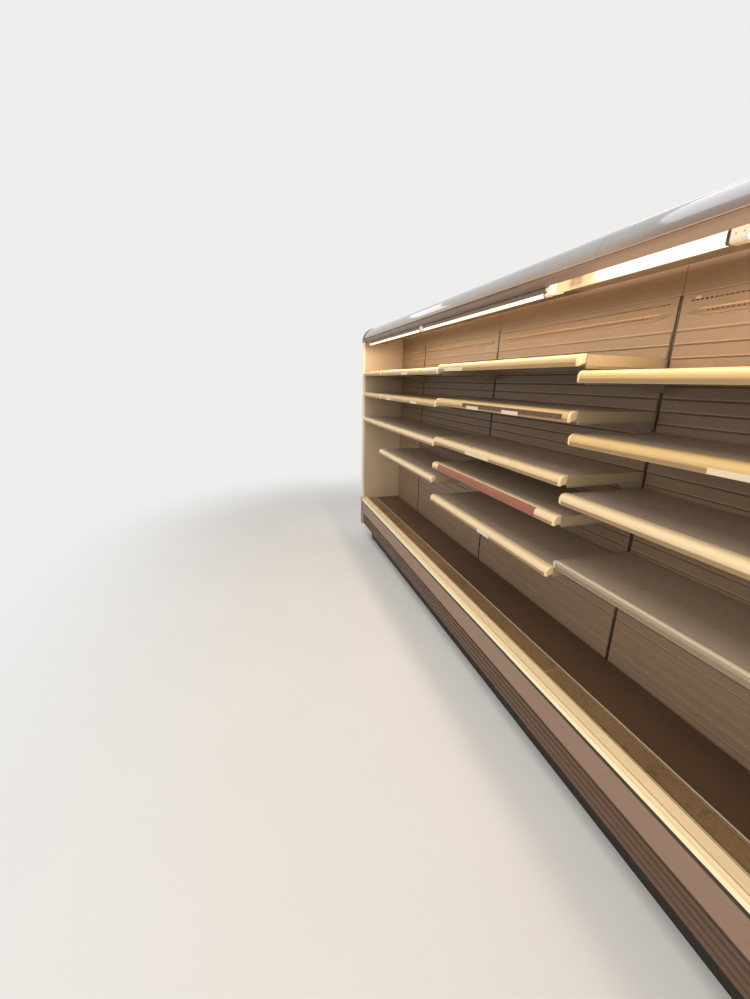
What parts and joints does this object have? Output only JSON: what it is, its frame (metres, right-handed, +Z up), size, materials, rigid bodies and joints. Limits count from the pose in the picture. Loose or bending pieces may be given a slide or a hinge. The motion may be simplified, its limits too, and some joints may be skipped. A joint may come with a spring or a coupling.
{
  "type": "open multideck refrigerated display cabinet",
  "caption": "Open-fronted refrigerated wall cabinet with hooked shelves, ticket rails, lit curved canopy, air grilles and insulated base",
  "frame": {"origin": "middle of the footprint, on the floor", "axes": "X along the cabinet, from the left end to the right end as seen from the front; -Y out of the open front; +Z up"},
  "size_m": [4.0136, 0.6, 2.118],
  "materials": {
    "plinth_paint": "matte black-brown paint",
    "carcass_skin": "light grey coated steel",
    "kick_plastic": "dark ribbed plastic",
    "front_paint": "satin mauve-grey paint",
    "coping_plastic": "worn ivory plastic",
    "grille_metal": "dull olive-brown",
    "deck_paint": "scuffed grey paint",
    "inner_steel": "galvanised",
    "upright_paint": "satin grey paint",
    "back_paint": "satin pale cream-grey paint",
    "nose_metal": "glossy silver-grey paint",
    "valance_paint": "satin beige paint",
    "outlet_plastic": "matte",
    "ceiling_paint": "satin beige paint",
    "tube_glass": "lit milky tube",
    "diffuser_plastic": "lit milky cover",
    "holder_plastic": "cream",
    "batten_paint": "satin grey-brown paint",
    "side_paint": "satin pale grey",
    "edging_plastic": "satin grey",
    "trim_plastic": "ivory",
    "cap_plastic": "mauve-grey",
    "shelf_paint": "satin pale grey paint",
    "bracket_paint": "satin cream paint",
    "rail_plastic": "ivory plastic"
  },
  "bodies": {
    "root": {"plinth_skirt": "plinth_paint", "plinth_rear_rail": "plinth_paint", "plinth_bearers": "plinth_paint", "base_tub": "carcass_skin", "rear_wall": "carcass_skin", "roof_panel": "carcass_skin", "kick_panel": "kick_plastic", "front_panel": "front_paint", "bumper_coping": "coping_plastic", "return_air_grilles": "grille_metal", "deck_pans": "deck_paint", "deck_supports": "inner_steel", "canopy_ribs": "inner_steel", "uprights": "upright_paint", "back_panels": "back_paint", "canopy_nose": "nose_metal", "lamp_valance": "valance_paint", "air_outlet_grilles": "outlet_plastic", "ceiling_panels": "ceiling_paint", "lamp_tubes": "tube_glass", "lamp_diffusers": "diffuser_plastic", "lamp_holders": "holder_plastic", "lamp_battens": "batten_paint", "left_end_panel": "side_paint", "right_end_panel": "side_paint", "left_nose_edging": "edging_plastic", "right_nose_edging": "edging_plastic", "left_end_trim": "trim_plastic", "right_end_trim": "trim_plastic", "left_kick_cap": "cap_plastic", "right_kick_cap": "cap_plastic", "end_bay_shelves": "shelf_paint", "far_bay_shelves": "shelf_paint", "middle_bay_shelves": "shelf_paint", "near_bay_shelves": "shelf_paint", "end_bay_brackets": "bracket_paint", "far_bay_brackets": "bracket_paint", "middle_bay_brackets": "bracket_paint", "near_bay_brackets": "bracket_paint", "end_bay_ticket_rails": "rail_plastic", "far_bay_ticket_rails": "rail_plastic", "middle_bay_ticket_rails": "rail_plastic", "near_bay_ticket_rails": "rail_plastic"}
  },
  "joints": []
}
